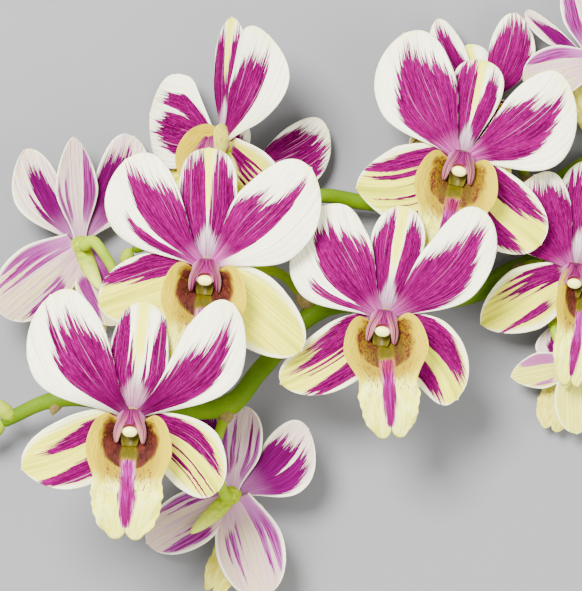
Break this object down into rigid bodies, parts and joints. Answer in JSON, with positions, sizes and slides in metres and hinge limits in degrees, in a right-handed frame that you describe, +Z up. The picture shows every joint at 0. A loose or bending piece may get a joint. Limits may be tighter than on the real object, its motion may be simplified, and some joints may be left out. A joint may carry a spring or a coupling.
{
  "type": "dendrobium orchid spray",
  "caption": "Cut forked spray of a dendrobium orchid lying down, with open blooms on curved pedicels, buds at the branch tips and a flat spot under the stalk.",
  "frame": {"origin": "centre of the spray's bounding box, at the surface it lies on", "axes": "+Z up, out of the faces of the blooms; +X along the spray towards the cut end of the stalk; +Y towards the upper branch"},
  "size_m": [0.1966, 0.177, 0.0693],
  "materials": {
    "stem": "satin",
    "tepals": "satin",
    "lip": "satin",
    "column": "satin",
    "anther_cap": "satin"
  },
  "bodies": {
    "root": {"spray_stem": "stem", "bloom_01_tepals": "tepals", "bloom_01_lip": "lip", "bloom_01_column": "column", "bloom_01_anther_cap": "anther_cap", "bloom_02_tepals": "tepals", "bloom_02_lip": "lip", "bloom_02_column": "column", "bloom_02_anther_cap": "anther_cap", "bloom_03_tepals": "tepals", "bloom_03_lip": "lip", "bloom_03_column": "column", "bloom_03_anther_cap": "anther_cap", "bloom_04_tepals": "tepals", "bloom_04_lip": "lip", "bloom_04_column": "column", "bloom_04_anther_cap": "anther_cap", "bloom_05_tepals": "tepals", "bloom_05_lip": "lip", "bloom_05_column": "column", "bloom_05_anther_cap": "anther_cap", "bloom_06_tepals": "tepals", "bloom_06_lip": "lip", "bloom_06_column": "column", "bloom_06_anther_cap": "anther_cap", "bloom_07_tepals": "tepals", "bloom_07_lip": "lip", "bloom_07_column": "column", "bloom_07_anther_cap": "anther_cap", "bloom_08_tepals": "tepals", "bloom_08_lip": "lip", "bloom_08_column": "column", "bloom_08_anther_cap": "anther_cap", "bloom_09_tepals": "tepals", "bloom_09_lip": "lip", "bloom_09_column": "column", "bloom_09_anther_cap": "anther_cap", "bloom_10_tepals": "tepals", "bloom_10_lip": "lip", "bloom_10_column": "column", "bloom_10_anther_cap": "anther_cap", "bloom_11_tepals": "tepals", "bloom_11_lip": "lip", "bloom_11_column": "column", "bloom_11_anther_cap": "anther_cap", "bloom_12_tepals": "tepals", "bloom_12_lip": "lip", "bloom_12_column": "column", "bloom_12_anther_cap": "anther_cap"}
  },
  "joints": []
}
